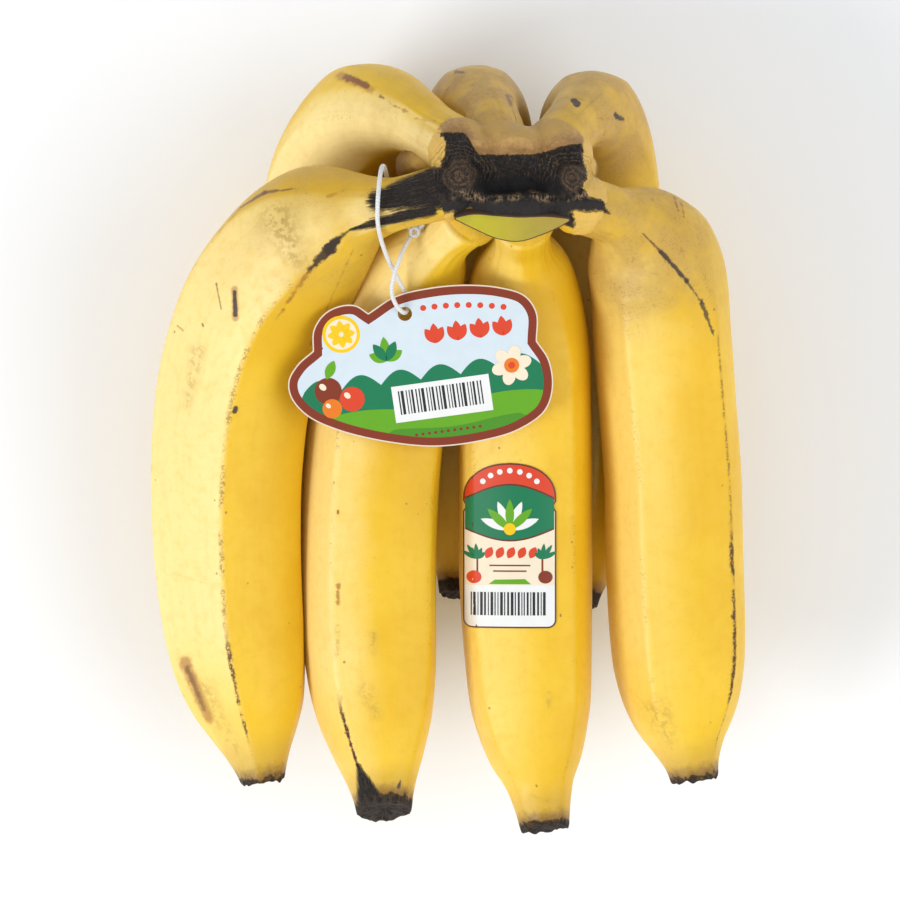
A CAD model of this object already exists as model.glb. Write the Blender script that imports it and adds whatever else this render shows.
import math
import random

import bmesh
import bpy
from mathutils import Matrix, Vector, noise
from mathutils.bvhtree import BVHTree


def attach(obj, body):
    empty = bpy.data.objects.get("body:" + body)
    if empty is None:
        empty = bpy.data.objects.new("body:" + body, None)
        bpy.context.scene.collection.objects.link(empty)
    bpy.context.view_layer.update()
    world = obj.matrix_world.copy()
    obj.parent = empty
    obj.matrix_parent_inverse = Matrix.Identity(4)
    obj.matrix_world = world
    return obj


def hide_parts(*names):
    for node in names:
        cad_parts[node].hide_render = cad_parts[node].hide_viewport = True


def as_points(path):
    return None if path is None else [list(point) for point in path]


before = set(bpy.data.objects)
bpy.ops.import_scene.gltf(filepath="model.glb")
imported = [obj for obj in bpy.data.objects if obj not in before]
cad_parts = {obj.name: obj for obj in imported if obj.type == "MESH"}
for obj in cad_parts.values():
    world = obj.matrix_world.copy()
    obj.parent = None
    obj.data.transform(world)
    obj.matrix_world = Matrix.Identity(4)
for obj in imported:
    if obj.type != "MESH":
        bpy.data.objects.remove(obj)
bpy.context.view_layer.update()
mm = 0.001
placeShift = Vector((-0.383, -1.03, 0.798))  # brings the middle of the hand's box over the origin
print("frame loaded")


def place(point):
    return (Vector(point) + placeShift) * mm


# curves along an axis

def smoothPath(points, perSpan=16):
    points = [Vector(p) for p in points]
    ends = [points[0] * 2 - points[1]] + points + [points[-1] * 2 - points[-2]]
    dense = []
    for i in range(1, len(ends) - 2):
        p0, p1, p2, p3 = ends[i - 1:i + 3]
        d0, d1, d2 = [(b - a).length ** 0.5 for a, b in ((p0, p1), (p1, p2), (p2, p3))]
        m1 = ((p1 - p0) / d0 - (p2 - p0) / (d0 + d1) + (p2 - p1) / d1) * d1
        m2 = ((p2 - p1) / d1 - (p3 - p1) / (d1 + d2) + (p3 - p2) / d2) * d1
        for k in range(perSpan):
            x = k / perSpan
            dense.append(p1 * (2 * x ** 3 - 3 * x ** 2 + 1) + m1 * (x ** 3 - 2 * x ** 2 + x)
                         + p2 * (3 * x ** 2 - 2 * x ** 3) + m2 * (x ** 3 - x ** 2))
    dense.append(points[-1])
    return dense


def evenly(points, count):
    reach = [0.0]
    for a, b in zip(points, points[1:]):
        reach.append(reach[-1] + (b - a).length)
    out, j = [], 0
    for i in range(count + 1):
        want = reach[-1] * i / count
        while j < len(points) - 2 and reach[j + 1] < want:
            j += 1
        span = max(reach[j + 1] - reach[j], 1e-9)
        out.append(points[j].lerp(points[j + 1], min(1.0, (want - reach[j]) / span)))
    return out, reach[-1]


def crossFrames(points, middleShare=0.6):
    count = len(points)
    tangents = []
    for i in range(count):
        tangents.append((points[min(i + 1, count - 1)] - points[max(i - 1, 0)]).normalized())
    square = lambda v, t: (v - t * v.dot(t)).normalized()
    normals = [None] * count
    middle = int(round((count - 1) * middleShare))
    normals[middle] = square(Vector((0, 0, 1)), tangents[middle])
    for i in range(middle + 1, count):
        normals[i] = square(normals[i - 1], tangents[i])
    for i in range(middle - 1, -1, -1):
        normals[i] = square(normals[i + 1], tangents[i])
    return [(p, t, n, t.cross(n)) for p, t, n in zip(points, tangents, normals)]


def ease(value, low, high):
    x = min(1.0, max(0.0, (value - low) / (high - low)))
    return x * x * (3 - 2 * x)


def slopeAt(stops, i):
    spans = zip(stops[max(0, i - 1):i + 1], stops[max(1, i):i + 2])
    sides = [(b[1] - a[1]) / (b[0] - a[0]) for a, b in spans]
    if len(sides) == 1:
        return sides[0] * 0.7
    return 0.0 if sides[0] * sides[1] <= 0 else 2 * sides[0] * sides[1] / (sides[0] + sides[1])


def stopsAt(stops, share):
    i = next((k for k, stop in enumerate(stops[1:-1]) if share <= stop[0]), len(stops) - 2)
    (a, small), (b, large) = stops[i:i + 2]
    wide = b - a
    x = min(1.0, max(0.0, (share - a) / wide))
    return (small * (2 * x ** 3 - 3 * x ** 2 + 1) + slopeAt(stops, i) * wide * (x ** 3 - 2 * x ** 2 + x)
            + large * (3 * x ** 2 - 2 * x ** 3) + slopeAt(stops, i + 1) * wide * (x ** 3 - x ** 2))


# mesh helpers

def wrapGrid(around, along, placeVertex, shareOf=None):
    # A grid rolled into a closed tube: x runs around it and y along it
    bm = bmesh.new()
    uvLayer = bm.loops.layers.uv.new("UVMap")
    bmesh.ops.create_grid(bm, x_segments=around, y_segments=along, size=0.5, calc_uvs=True)
    if shareOf:
        for face in bm.faces:
            for loop in face.loops:
                uv = loop[uvLayer].uv
                uv.y = shareOf(uv.y)
    for vertex in bm.verts:
        vertex.co = placeVertex(vertex.co.x + 0.5, vertex.co.y + 0.5)
    bmesh.ops.remove_doubles(bm, verts=bm.verts, dist=1e-7)
    bmesh.ops.dissolve_degenerate(bm, dist=1e-8, edges=bm.edges)
    bmesh.ops.recalc_face_normals(bm, faces=bm.faces)
    return bm


def makeObject(name, bm, materials=(), smooth=True, levels=0):
    mesh = bpy.data.meshes.new(name)
    bm.to_mesh(mesh)
    bm.free()
    piece = bpy.data.objects.new(name, mesh)
    bpy.context.scene.collection.objects.link(piece)
    for material in materials:
        mesh.materials.append(material)
    if smooth:
        mesh.polygons.foreach_set("use_smooth", [True] * len(mesh.polygons))
    if levels:
        rounding = piece.modifiers.new("rounding", "SUBSURF")
        rounding.levels = levels
        rounding.render_levels = levels
    return piece


# node helpers

def newMaterial(name):
    material = bpy.data.materials.new(name)
    material.use_nodes = True
    tree = material.node_tree
    tree.nodes.clear()
    out = tree.nodes.new("ShaderNodeOutputMaterial")
    shader = tree.nodes.new("ShaderNodeBsdfPrincipled")
    tree.links.new(shader.outputs[0], out.inputs[0])
    return material, tree, shader


def feed(tree, socket, value):
    if isinstance(value, bpy.types.NodeSocket):
        tree.links.new(value, socket)
    elif value is not None:
        socket.default_value = value


def calc(tree, operation, a, b=None, c=None, clamp=False):
    node = tree.nodes.new("ShaderNodeMath")
    node.operation = operation
    node.use_clamp = clamp
    for socket, value in zip(node.inputs, (a, b, c)):
        feed(tree, socket, value)
    return node.outputs[0]


def times(tree, a, b):
    return calc(tree, "MULTIPLY", a, b)


def plus(tree, a, b):
    return calc(tree, "ADD", a, b)


def minus(tree, a, b):
    return calc(tree, "SUBTRACT", a, b)


def larger(tree, a, b):
    return calc(tree, "MAXIMUM", a, b)


def vecCalc(tree, operation, a, b=None, scale=None):
    node = tree.nodes.new("ShaderNodeVectorMath")
    node.operation = operation
    feed(tree, node.inputs[0], a)
    feed(tree, node.inputs[1], b)
    if scale is not None:
        feed(tree, node.inputs["Scale"], scale)
    return node.outputs["Value" if operation in ("LENGTH", "DOT_PRODUCT", "DISTANCE") else "Vector"]


def joinXYZ(tree, x=0.0, y=0.0, z=0.0):
    node = tree.nodes.new("ShaderNodeCombineXYZ")
    for socket, value in zip(node.inputs, (x, y, z)):
        feed(tree, socket, value)
    return node.outputs[0]


def splitXYZ(tree, vector):
    node = tree.nodes.new("ShaderNodeSeparateXYZ")
    feed(tree, node.inputs[0], vector)
    return node.outputs


def fade(tree, value, low, high, to0=0.0, to1=1.0):
    node = tree.nodes.new("ShaderNodeMapRange")
    node.interpolation_type = "SMOOTHSTEP"
    feed(tree, node.inputs["Value"], value)
    for socket, number in zip(("From Min", "From Max", "To Min", "To Max"), (low, high, to0, to1)):
        feed(tree, node.inputs[socket], number)
    return node.outputs[0]


def speck(tree, vector, scale, detail=2.0, rough=0.5):
    node = tree.nodes.new("ShaderNodeTexNoise")
    feed(tree, node.inputs["Vector"], vector)
    node.inputs["Scale"].default_value = scale
    node.inputs["Detail"].default_value = detail
    node.inputs["Roughness"].default_value = rough
    return node.outputs["Fac"]


def cells(tree, vector, scale):
    node = tree.nodes.new("ShaderNodeTexVoronoi")
    feed(tree, node.inputs["Vector"], vector)
    node.inputs["Scale"].default_value = scale
    return node.outputs


def blend(tree, factor, a, b, mode="MIX"):
    node = tree.nodes.new("ShaderNodeMix")
    node.data_type = "RGBA"
    node.blend_type = mode
    feed(tree, node.inputs[0], factor)
    for socket, value in zip((node.inputs[6], node.inputs[7]), (a, b)):
        feed(tree, socket, (*value, 1.0) if isinstance(value, tuple) and len(value) == 3 else value)
    return node.outputs[2]


def bumpFrom(tree, height, strength, distance, below=None):
    node = tree.nodes.new("ShaderNodeBump")
    node.inputs["Strength"].default_value = strength
    node.inputs["Distance"].default_value = distance
    feed(tree, node.inputs["Height"], height)
    feed(tree, node.inputs["Normal"], below)
    return node.outputs[0]


def objectPoint(tree):
    coordinates = tree.nodes.new("ShaderNodeTexCoord")
    return vecCalc(tree, "SCALE", coordinates.outputs["Object"], scale=1000.0)  # in millimetres


def linear(red, green, blue):
    change = lambda c: c / 12.92 if c <= 0.04045 else ((c + 0.055) / 1.055) ** 2.4
    return tuple(change(c / 255) for c in (red, green, blue))


def plainMaterial(name, colour, rough=0.5, paper=0.0):
    material, tree, shader = newMaterial(name)
    point = objectPoint(tree)
    fibres = speck(tree, point, 3.0, 4.0, 0.7)
    tint = speck(tree, point, 0.25, 3.0)
    shade = tuple(c * 0.9 for c in colour)
    mixed = blend(tree, fade(tree, tint, 0.35, 0.7, 0.0, 0.35 + paper), colour, shade)
    feed(tree, shader.inputs["Base Color"], mixed)
    feed(tree, shader.inputs["Roughness"], fade(tree, fibres, 0.3, 0.7, rough - 0.06, rough + 0.06))
    shader.inputs["Specular IOR Level"].default_value = 0.4
    feed(tree, shader.inputs["Normal"], bumpFrom(tree, fibres, 0.12 + paper, 0.00008))
    return material


# fingers

longNeck = [(0, 0.36), (0.06, 0.34), (0.1, 0.42), (0.15, 0.68), (0.2, 0.9), (0.26, 1), (0.35, 1.03)]
midNeck = [(0, 0.42), (0.05, 0.4), (0.085, 0.46), (0.13, 0.68), (0.175, 0.82), (0.22, 0.91), (0.3, 1)]
shortNeck = [(0, 0.4), (0.05, 0.4), (0.09, 0.52), (0.14, 0.78), (0.19, 0.95), (0.25, 1)]
backNeck = [(0, 0.44), (0.05, 0.43), (0.1, 0.49), (0.16, 0.66), (0.22, 0.83), (0.3, 0.95), (0.4, 1)]
backTip = [(0.66, 1), (0.78, 0.97), (0.85, 0.88), (0.9, 0.74), (0.94, 0.56), (0.97, 0.42), (1, 0.34)]

# ridges: degrees round the finger, 0 facing up and positive towards -X; twist: degrees over the length
# ridgeLines: ridge, start and end along the finger, half width in mm, strength
fingers = {
    "banana_front_1": {
        "radius": 20, "seed": 1.3, "cream": 0.85, "tan": 0.4, "tanTo": 0.4, "tip": 0.995, "tipLean": -6,
        "profile": longNeck + [(0.62, 1), (0.78, 0.955), (0.85, 0.88), (0.9, 0.76), (0.936, 0.6),
                               (0.971, 0.42), (1, 0.31)],
        "ridges": (-140, -68, 2, 76, 146), "twist": 18, "ridgeAmount": 0.66,
        "axis": [(-1, 67.5, 88), (-12.5, 64.5, 88), (-24.5, 62.5, 81), (-37, 56.5, 70), (-49, 42.5, 60),
                 (-56.5, 22.5, 53), (-59.5, 0, 49.5), (-59.5, -24.5, 47), (-57, -51.5, 46),
                 (-53.5, -70.5, 47), (-50.5, -88.5, 48)],
        "ridgeLines": [(2, 0.3, 0.8, 1.0, 0.62), (2, 0.8, 0.95, 1.0, 0.9)],
    },
    "banana_front_2": {
        "radius": 18.6, "seed": 7.1, "cream": 0.75, "tan": 0.05, "tanTo": 0.3, "tip": 0.991, "tipLean": 11,
        "profile": midNeck + [(0.62, 1), (0.72, 0.99), (0.79, 0.945), (0.856, 0.843), (0.916, 0.66),
                              (0.966, 0.48), (1, 0.4)],
        "ridges": (-126, -54, 33, 98, 162), "twist": 6, "ridgeAmount": 0.68,
        "axis": [(4.5, 61, 83), (-1, 56.5, 75), (-9.5, 47.5, 61.5), (-16, 28.5, 52), (-19.5, 2.5, 49),
                 (-21, -21.5, 49), (-21, -46, 50), (-19.5, -71.5, 53), (-17.5, -96, 59)],
        "ridgeLines": [(2, 0.4, 0.84, 0.8, 0.45), (2, 0.84, 0.975, 1.1, 1.0)],
    },
    "banana_front_3": {
        "radius": 18.2, "seed": 4.6, "cream": 0.3, "tan": 0.05, "tanTo": 0.3, "tip": 0.993, "tipLean": 2,
        "profile": midNeck + [(0.6, 1), (0.69, 0.975), (0.744, 0.95), (0.808, 0.906), (0.862, 0.8),
                              (0.901, 0.68), (0.94, 0.5), (1, 0.37)],
        "ridges": (-112, -41, 48, 110, 176), "twist": -4, "ridgeAmount": 0.64,
        "axis": [(19, 59.5, 86), (19, 54, 74), (19.5, 44, 60), (20, 27, 51), (20.5, 2.5, 48),
                 (20.5, -21.5, 47), (21, -46, 48), (22.5, -74, 51), (25.5, -101, 55)],
        "ridgeLines": [(1, 0.55, 0.9, 0.5, 0.25), (2, 0.7, 0.92, 0.4, 0.2)],
    },
    "banana_front_4": {
        "radius": 18.8, "seed": 9.4, "cream": 0.45, "tan": 0.75, "tanTo": 0.36, "tip": 0.994, "tipLean": -4,
        "profile": shortNeck + [(0.66, 1), (0.755, 0.99), (0.815, 0.963), (0.868, 0.88), (0.916, 0.72),
                                (0.952, 0.525), (0.98, 0.4), (1, 0.35)],
        "ridges": (-116, -44, 32, 104, 172), "twist": -6, "ridgeAmount": 0.66,
        "axis": [(34.5, 64, 87), (42.5, 61.5, 81), (50.5, 56.5, 70), (56, 45, 59), (58, 28.5, 53),
                 (59.5, 11, 49.5), (61, -8, 47.5), (61.5, -30, 47), (62.5, -54, 48), (63.5, -73, 49),
                 (66, -88, 50)],
        "ridgeLines": [(1, 0.3, 0.62, 0.6, 0.7), (1, 0.62, 0.9, 1.0, 0.95), (1, 0.9, 0.97, 0.6, 0.7)],
    },
    "banana_back_1": {
        "radius": 18, "seed": 12.2, "cream": 1.0, "tan": 0.36, "tanTo": 0.26, "tip": 0.985, "tipLean": 0,
        "profile": backNeck + backTip,
        "ridges": (-150, -76, 0, 70, 142), "twist": 30, "ridgeAmount": 0.5,
        "axis": [(2, 79, 84), (-3, 82.5, 78), (-10, 87.5, 69), (-18.5, 90, 56), (-26, 86.5, 42),
                 (-32, 76, 31), (-35, 59.5, 23), (-36, 39, 18.5), (-36, 14, 16.5), (-33.5, -14, 17.5),
                 (-29, -43, 24)],
        "ridgeLines": [(4, 0.05, 0.3, 0.4, 0.3)],
    },
    "banana_back_2": {
        "radius": 17.6, "seed": 3.7, "cream": 0.5, "tan": 0.95, "tanTo": 0.5, "tip": 0.985, "tipLean": 0,
        "profile": backNeck + backTip,
        "ridges": (-145, -72, 0, 72, 146), "twist": 10, "ridgeAmount": 0.46,
        "axis": [(13, 79.5, 84), (11.5, 85, 77), (9.5, 89, 68), (7.5, 91, 55), (7, 87, 41),
                 (6.5, 76.5, 30), (6, 59.5, 22), (5.5, 39, 18), (5.5, 14, 16.5), (4.5, -14, 17.5),
                 (3, -39, 24)],
        "ridgeLines": [(1, 0.3, 0.5, 0.4, 0.3)],
    },
    "banana_back_3": {
        "radius": 17.6, "seed": 15.9, "cream": 0.6, "tan": 0.85, "tanTo": 0.46, "tip": 0.985, "tipLean": 0,
        "profile": backNeck + backTip,
        "ridges": (-140, -66, 4, 78, 150), "twist": -16, "ridgeAmount": 0.5,
        "axis": [(28, 79.5, 84), (31.5, 84.5, 77), (35, 88, 68), (37.5, 89.5, 55), (39, 86, 42),
                 (40.5, 75.5, 31), (41.5, 58.5, 23), (42, 39, 18.5), (41.5, 14, 16.5), (39.5, -14, 17.5),
                 (35, -41.5, 24)],
        "ridgeLines": [(4, 0.15, 0.5, 0.4, 0.3)],
    },
}

# rim: how the dried end closes, as shares of the radius and mm outwards; sunny: the paler side
peel = {"around": 80, "along": 150, "sunny": (-0.66, -0.3, 0.69),
        "rim": [(1.0, 0.2), (0.95, 0.7), (0.84, 0.5), (0.66, -0.2), (0.4, -0.5), (0.16, -0.3), (0.0, -0.2)]}


def fingerShape(spec):
    around, along, rim = peel["around"], peel["along"], peel["rim"]
    bodyRows = along - len(rim)  # the first row closes the hidden start
    points, length = evenly(smoothPath(spec["axis"]), bodyRows)
    frames = crossFrames(points)
    ridges = list(spec["ridges"]) + [spec["ridges"][0] + 360]
    seed = spec["seed"]
    lean = math.tan(math.radians(spec["tipLean"]))

    def shareOf(v):
        return min(1.0, max(0.0, (v * along - 1) / bodyRows))

    def placeVertex(u, v):
        row = int(round(v * along))
        share = shareOf(v)
        phase = u * 5
        k = min(4, int(phase))
        wide = math.radians(ridges[k + 1] - ridges[k])
        angle = math.radians(ridges[k]) + (phase - k) * wide + math.radians(spec["twist"]) * (share - 0.6)
        point, tangent, normal, side = frames[min(bodyRows, max(0, row - 1))]
        if row == 0:
            return place(point - tangent * 0.5)
        radius = spec["radius"] * stopsAt(spec["profile"], share)
        bend = min(wide, math.radians(76))
        ring = math.cos(bend / 2) / math.cos((phase - k - 0.5) * bend)  # 1 on the ridges
        fromRidge = min(phase - k, 1 - (phase - k)) * wide * radius
        crisp = ease(share, 0.12, 0.3) * (1 - 0.7 * ease(share, 0.82, 1.0))
        flat = 1 + ((ring - 0.9) * spec["ridgeAmount"] + 0.007 * math.exp(-(fromRidge / 1.1) ** 2)) * crisp
        circle = Vector((math.cos(angle), math.sin(angle), 0))
        swell = noise.noise(circle * 1.1 + Vector((0, 0, share * 3 + seed))) * 0.014
        lumps = noise.noise(circle * 3 + Vector((0, 0, share * 11 + seed))) * 0.06
        fibres = noise.noise(Vector((angle * 9, share * 6, seed))) * 0.3 * (1 - ease(share, 0.05, 0.16))
        reach = radius * (flat + swell) + lumps + fibres
        out = normal * math.cos(angle) + side * math.sin(angle)
        slant = -math.cos(angle) * lean * ease(share, 0.93, 1.0)
        late = row - 1 - bodyRows
        if late >= 0:
            scale, push = rim[late]
            rough = noise.noise(circle * 3.2 + Vector((0, 0, late * 0.7 + seed * 2)))
            crumb = noise.noise(out * 9 + Vector((seed, late, 0)))
            lift = push + rough * 1.2 * scale + crumb * 0.5 * min(1.0, scale * 4)
            return place(point + out * (reach * scale) + tangent * (lift + 0.4 + slant * reach * scale))
        fray = ease(share, 0.975, 1.0)
        reach += noise.noise(circle * 5 + Vector((0, 0, share * 60 + seed))) * 0.6 * fray
        return place(point + out * reach + tangent * slant * reach)

    bm = wrapGrid(around, along, placeVertex, shareOf)
    bm.normal_update()
    sunny = bm.verts.layers.float.new("sunny")
    towards = Vector(peel["sunny"]).normalized()
    for vertex in bm.verts:
        vertex[sunny] = ease(vertex.normal.dot(towards), 0.35, 0.97)
    return bm, length


def planCapsule(tree, plan, mark, warp, fibre):
    # A tapered stroke seen from above: its distance is measured in plan and roughened by the noises
    x0, y0, x1, y1, wide0, wide1, edge, strength, tone, ragged = mark
    reach = Vector((x1 - x0, y1 - y0, 0))
    local = vecCalc(tree, "SUBTRACT", plan, (x0, y0, 0))
    step = tuple(reach / max(reach.length_squared, 1e-6))
    slide = calc(tree, "MULTIPLY", vecCalc(tree, "DOT_PRODUCT", local, step), 1.0, clamp=True)
    foot = vecCalc(tree, "SCALE", tuple(reach), scale=slide)
    away = vecCalc(tree, "LENGTH", vecCalc(tree, "SUBTRACT", local, foot))
    half = plus(tree, times(tree, slide, wide1 - wide0), wide0)
    away = minus(tree, away, half)
    rough = fibre if tone == "black" else warp
    away = plus(tree, away, times(tree, rough, ragged))
    return fade(tree, away, 0.0, -edge, 0.0, strength)


markTones = {"brown": (110, 66, 32), "rust": (158, 96, 38), "dark": (54, 38, 28),
             "olive": (172, 140, 62)}


def peelMaterial(name, spec, length):
    material, tree, shader = newMaterial("peel_" + name)
    point = objectPoint(tree)
    plan = vecCalc(tree, "MULTIPLY", vecCalc(tree, "SUBTRACT", point, tuple(placeShift)), (1, 1, 0))
    height = splitXYZ(tree, point)[2]
    uvNode = tree.nodes.new("ShaderNodeUVMap")
    uvNode.uv_map = "UVMap"
    u, v, _ = splitXYZ(tree, uvNode.outputs[0])
    phase = times(tree, u, 5.0)
    along = times(tree, v, length)
    facet = spec["radius"] * 1.2566
    seeded = vecCalc(tree, "ADD", point, (spec["seed"] * 31, spec["seed"] * 17, 0))
    sunny = tree.nodes.new("ShaderNodeAttribute")
    sunny.attribute_name = "sunny"

    # yellow that wanders between a deep and a creamy tone, with fine streaks along the finger
    broad = speck(tree, seeded, 0.03, 3.0)
    fine = speck(tree, seeded, 0.35, 4.0, 0.6)
    ragged = speck(tree, seeded, 0.55, 5.0, 0.65)
    dust = speck(tree, seeded, 1.5, 3.0, 0.7)
    cloud = speck(tree, seeded, 0.11, 4.0, 0.62)
    across = times(tree, phase, facet)
    streakPoint = joinXYZ(tree, times(tree, across, 0.6), times(tree, along, 0.05), spec["seed"])
    streak = speck(tree, streakPoint, 1.0, 3.0, 0.6)
    colour = blend(tree, fade(tree, broad, 0.36, 0.64), linear(228, 181, 18), linear(236, 193, 38))
    pale = fade(tree, plus(tree, sunny.outputs["Fac"], times(tree, cloud, 0.3)), 0.35, 1.2)
    pale = times(tree, pale, fade(tree, v, 0.92, 0.76, 0.35, 1.0))
    colour = blend(tree, pale, colour, linear(243, 204, 62))
    colour = blend(tree, times(tree, pale, spec["cream"]), colour, linear(246, 223, 152))
    colour = blend(tree, fade(tree, fine, 0.44, 0.74, 0.0, 0.2), colour, linear(216, 170, 34))
    colour = blend(tree, fade(tree, streak, 0.45, 0.75, 0.0, 0.1), colour, linear(210, 164, 40))

    # tan, weathered skin from the shoulder to the neck
    shoulder = times(tree, fade(tree, v, spec["tanTo"], spec["tanTo"] * 0.35), spec["tan"])
    patch = times(tree, shoulder, fade(tree, cloud, 0.3, 0.6, 0.55, 1.0))
    colour = blend(tree, patch, colour, linear(182, 145, 72))
    mottle = times(tree, shoulder, fade(tree, dust, 0.54, 0.66, 0.0, 0.6))
    colour = blend(tree, times(tree, mottle, fade(tree, cloud, 0.45, 0.6)), colour, linear(140, 100, 58))
    colour = blend(tree, fade(tree, v, 0.93, 0.985, 0.0, 0.5), colour, linear(176, 140, 56))

    # freckles and pores, thicker near the ridges
    offRidge = times(tree, calc(tree, "PINGPONG", phase, 0.5), facet)
    dots = cells(tree, seeded, 0.36)
    chance = splitXYZ(tree, dots["Color"])
    dotSize = fade(tree, chance[0], 0.7, 1.0, 0.02, 0.17)
    dot = fade(tree, minus(tree, dotSize, dots["Distance"]), 0.0, 0.05)
    near = fade(tree, offRidge, 4.0, 0.5, 0.0, 0.3)
    few = fade(tree, plus(tree, chance[1], near), 0.72, 0.86)
    colour = blend(tree, times(tree, times(tree, dot, few), 0.6), colour, linear(132, 84, 34))
    pore = fade(tree, cells(tree, seeded, 1.1)["Distance"], 0.28, 0.05, 0.0, 0.12)
    colour = blend(tree, pore, colour, linear(190, 140, 54))

    # brown lines and dust that the ridges have picked up by rubbing
    warp = times(tree, minus(tree, ragged, 0.5), 3.0)
    dark = times(tree, fade(tree, offRidge, 1.3, 0.2), fade(tree, cloud, 0.5, 0.62, 0.0, 0.34))
    dark = times(tree, dark, fade(tree, dust, 0.5, 0.6))
    for ridge, start, end, width, strength in spec["ridgeLines"]:
        away = calc(tree, "ABSOLUTE", minus(tree, across, ridge * facet))
        away = minus(tree, away, times(tree, warp, width * 0.9))
        line = fade(tree, away, width, width * 0.2)
        span = times(tree, fade(tree, v, start - 0.03, start + 0.03), fade(tree, v, end + 0.01, end - 0.02))
        grainy = fade(tree, dust, 0.62 - strength * 0.3, 0.72 - strength * 0.3)
        broken = fade(tree, cloud, 0.56 - strength * 0.26, 0.66 - strength * 0.24)
        line = times(tree, times(tree, line, span), times(tree, broken, grainy))
        dark = larger(tree, dark, times(tree, line, strength))
    brownTone = blend(tree, fade(tree, dark, 0.35, 0.85), linear(162, 116, 44), linear(82, 50, 30))
    colour = blend(tree, dark, colour, brownTone)

    # bruises, scars and stains on the upper side
    black = 0.0
    fibre = speck(tree, joinXYZ(tree, times(tree, across, 2.2), times(tree, along, 0.2), 3.0),
                  1.0, 4.0, 0.7)
    frayed = plus(tree, times(tree, minus(tree, fibre, 0.5), 5.0),
                  times(tree, warp, 0.4))
    facing = splitXYZ(tree, tree.nodes.new("ShaderNodeNewGeometry").outputs["Normal"])[2]
    upper = times(tree, fade(tree, height, 47.0, 50.0), fade(tree, facing, -0.1, 0.15))
    for mark in peelMarks[name]:
        cover = times(tree, planCapsule(tree, plan, mark, warp, frayed), upper)
        if mark[8] == "black":
            black = larger(tree, black, cover)
        else:
            if mark[8] == "olive":
                cover = times(tree, cover, fade(tree, ragged, 0.44, 0.6, 0.15, 1.0))
            colour = blend(tree, cover, colour, linear(*markTones[mark[8]]))

    # dried black tip, with a honeycomb of dry threads on its end
    tipEdge = plus(tree, v, times(tree, minus(tree, ragged, 0.5), 0.02))
    black = larger(tree, black, fade(tree, tipEdge, spec["tip"], spec["tip"] + 0.005))
    browning = fade(tree, tipEdge, spec["tip"] - 0.02, spec["tip"] + 0.002, 0.0, 0.8)
    colour = blend(tree, browning, colour, linear(104, 68, 36))
    grain = speck(tree, seeded, 1.6, 5.0, 0.7)
    dry = blend(tree, fade(tree, grain, 0.42, 0.62), linear(26, 22, 21), linear(54, 45, 40))
    dry = blend(tree, fade(tree, fibre, 0.55, 0.66, 0.0, 0.75), dry, linear(132, 104, 74))
    honey = cells(tree, seeded, 0.62)["Distance"]
    tipOnly = fade(tree, v, 0.985, 0.999)
    dry = blend(tree, times(tree, tipOnly, fade(tree, honey, 0.25, 0.7, 0.0, 0.4)), dry, linear(98, 82, 68))
    colour = blend(tree, black, colour, dry)

    feed(tree, shader.inputs["Base Color"], colour)
    rough = fade(tree, fine, 0.3, 0.7, 0.42, 0.54)
    rough = larger(tree, rough, times(tree, larger(tree, dark, black), 0.8))
    feed(tree, shader.inputs["Roughness"], rough)
    shader.inputs["Specular IOR Level"].default_value = 0.4
    shader.inputs["Subsurface Weight"].default_value = 0.08
    shader.inputs["Subsurface Radius"].default_value = (1.0, 0.5, 0.12)
    shader.inputs["Subsurface Scale"].default_value = 0.0015
    skin = plus(tree, times(tree, fine, 0.5), times(tree, streak, 0.35))
    skin = minus(tree, skin, times(tree, pore, 0.8))
    skin = minus(tree, skin, times(tree, dark, 0.8))
    relief = bumpFrom(tree, skin, 0.22, 0.0004)
    crust = plus(tree, times(tree, fibre, 1.6), times(tree, grain, 0.9))
    crust = plus(tree, crust, times(tree, times(tree, honey, tipOnly), 1.5))
    crust = times(tree, crust, black)
    feed(tree, shader.inputs["Normal"], bumpFrom(tree, crust, 0.9, 0.0009, relief))
    return material


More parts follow.
